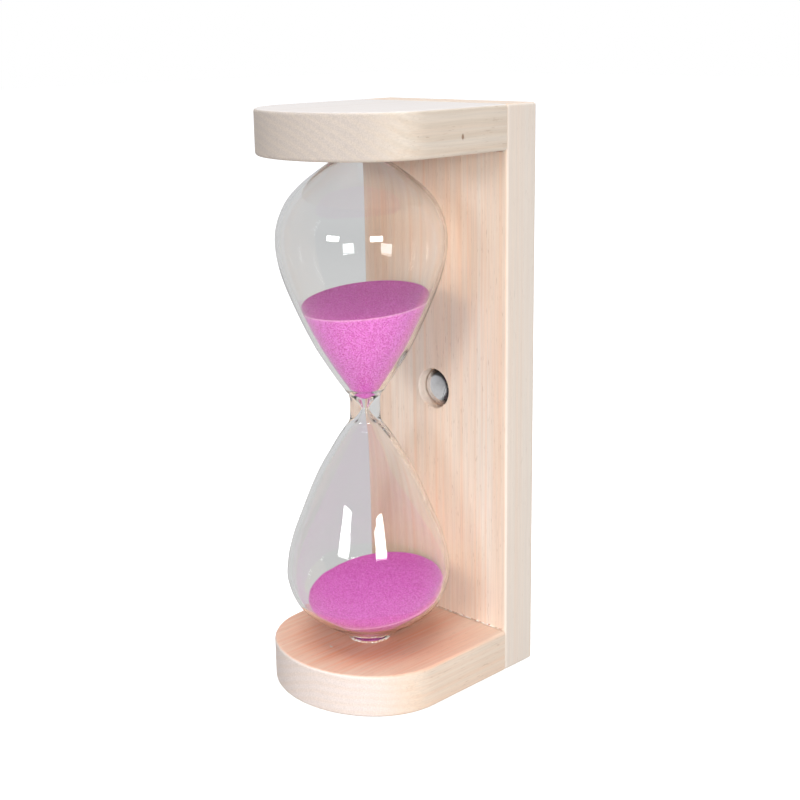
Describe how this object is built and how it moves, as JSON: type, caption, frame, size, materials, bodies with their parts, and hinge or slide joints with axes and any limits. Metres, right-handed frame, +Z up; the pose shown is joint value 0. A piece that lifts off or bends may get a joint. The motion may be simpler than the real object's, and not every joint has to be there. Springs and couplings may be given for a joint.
{
  "type": "hourglass",
  "caption": "Wall-mounted sand timer: a blown hourglass with pink sand held between two rounded wooden shelves on a board that turns about a capped wall screw.",
  "frame": {"origin": "on the axis of the glass, level with the underside of the bottom shelf", "axes": "+Z up along the glass, +Y from the glass towards the back board and the wall, +X to the right seen from the front"},
  "size_m": [0.082, 0.1285, 0.24],
  "materials": {
    "board_wood": "planed and sanded, unfinished pale softwood",
    "shelf_wood": "planed and sanded, unfinished pale softwood",
    "glass": "clear, fire-polished",
    "sand": "fine dyed grains, matt",
    "glue": "dried clear glue, satin",
    "stopper": "matt",
    "zinc_steel": "zinc plated",
    "chrome": "polished",
    "nylon": "matt"
  },
  "bodies": {
    "wall_fixing": {"pivot_screw": "zinc_steel", "pivot_cap_base": "chrome", "pivot_cap": "chrome", "rear_spacer": "nylon"},
    "frame": {"back_board": "board_wood", "top_shelf": "shelf_wood", "bottom_shelf": "shelf_wood", "hourglass_glass": "glass", "filling_plug": "stopper", "upper_sand": "sand", "lower_sand": "sand", "upper_glue_ring": "glue", "lower_glue_ring": "glue", "shelf_screw_1": "zinc_steel", "shelf_screw_2": "zinc_steel", "shelf_screw_3": "zinc_steel", "shelf_screw_4": "zinc_steel"}
  },
  "joints": [
    {"name": "frame_turn", "type": "hinge", "parent": "wall_fixing", "child": "frame", "pos_m": [0, 0.05, 0.119], "axis": [0, 1, 0], "continuous": true}
  ]
}
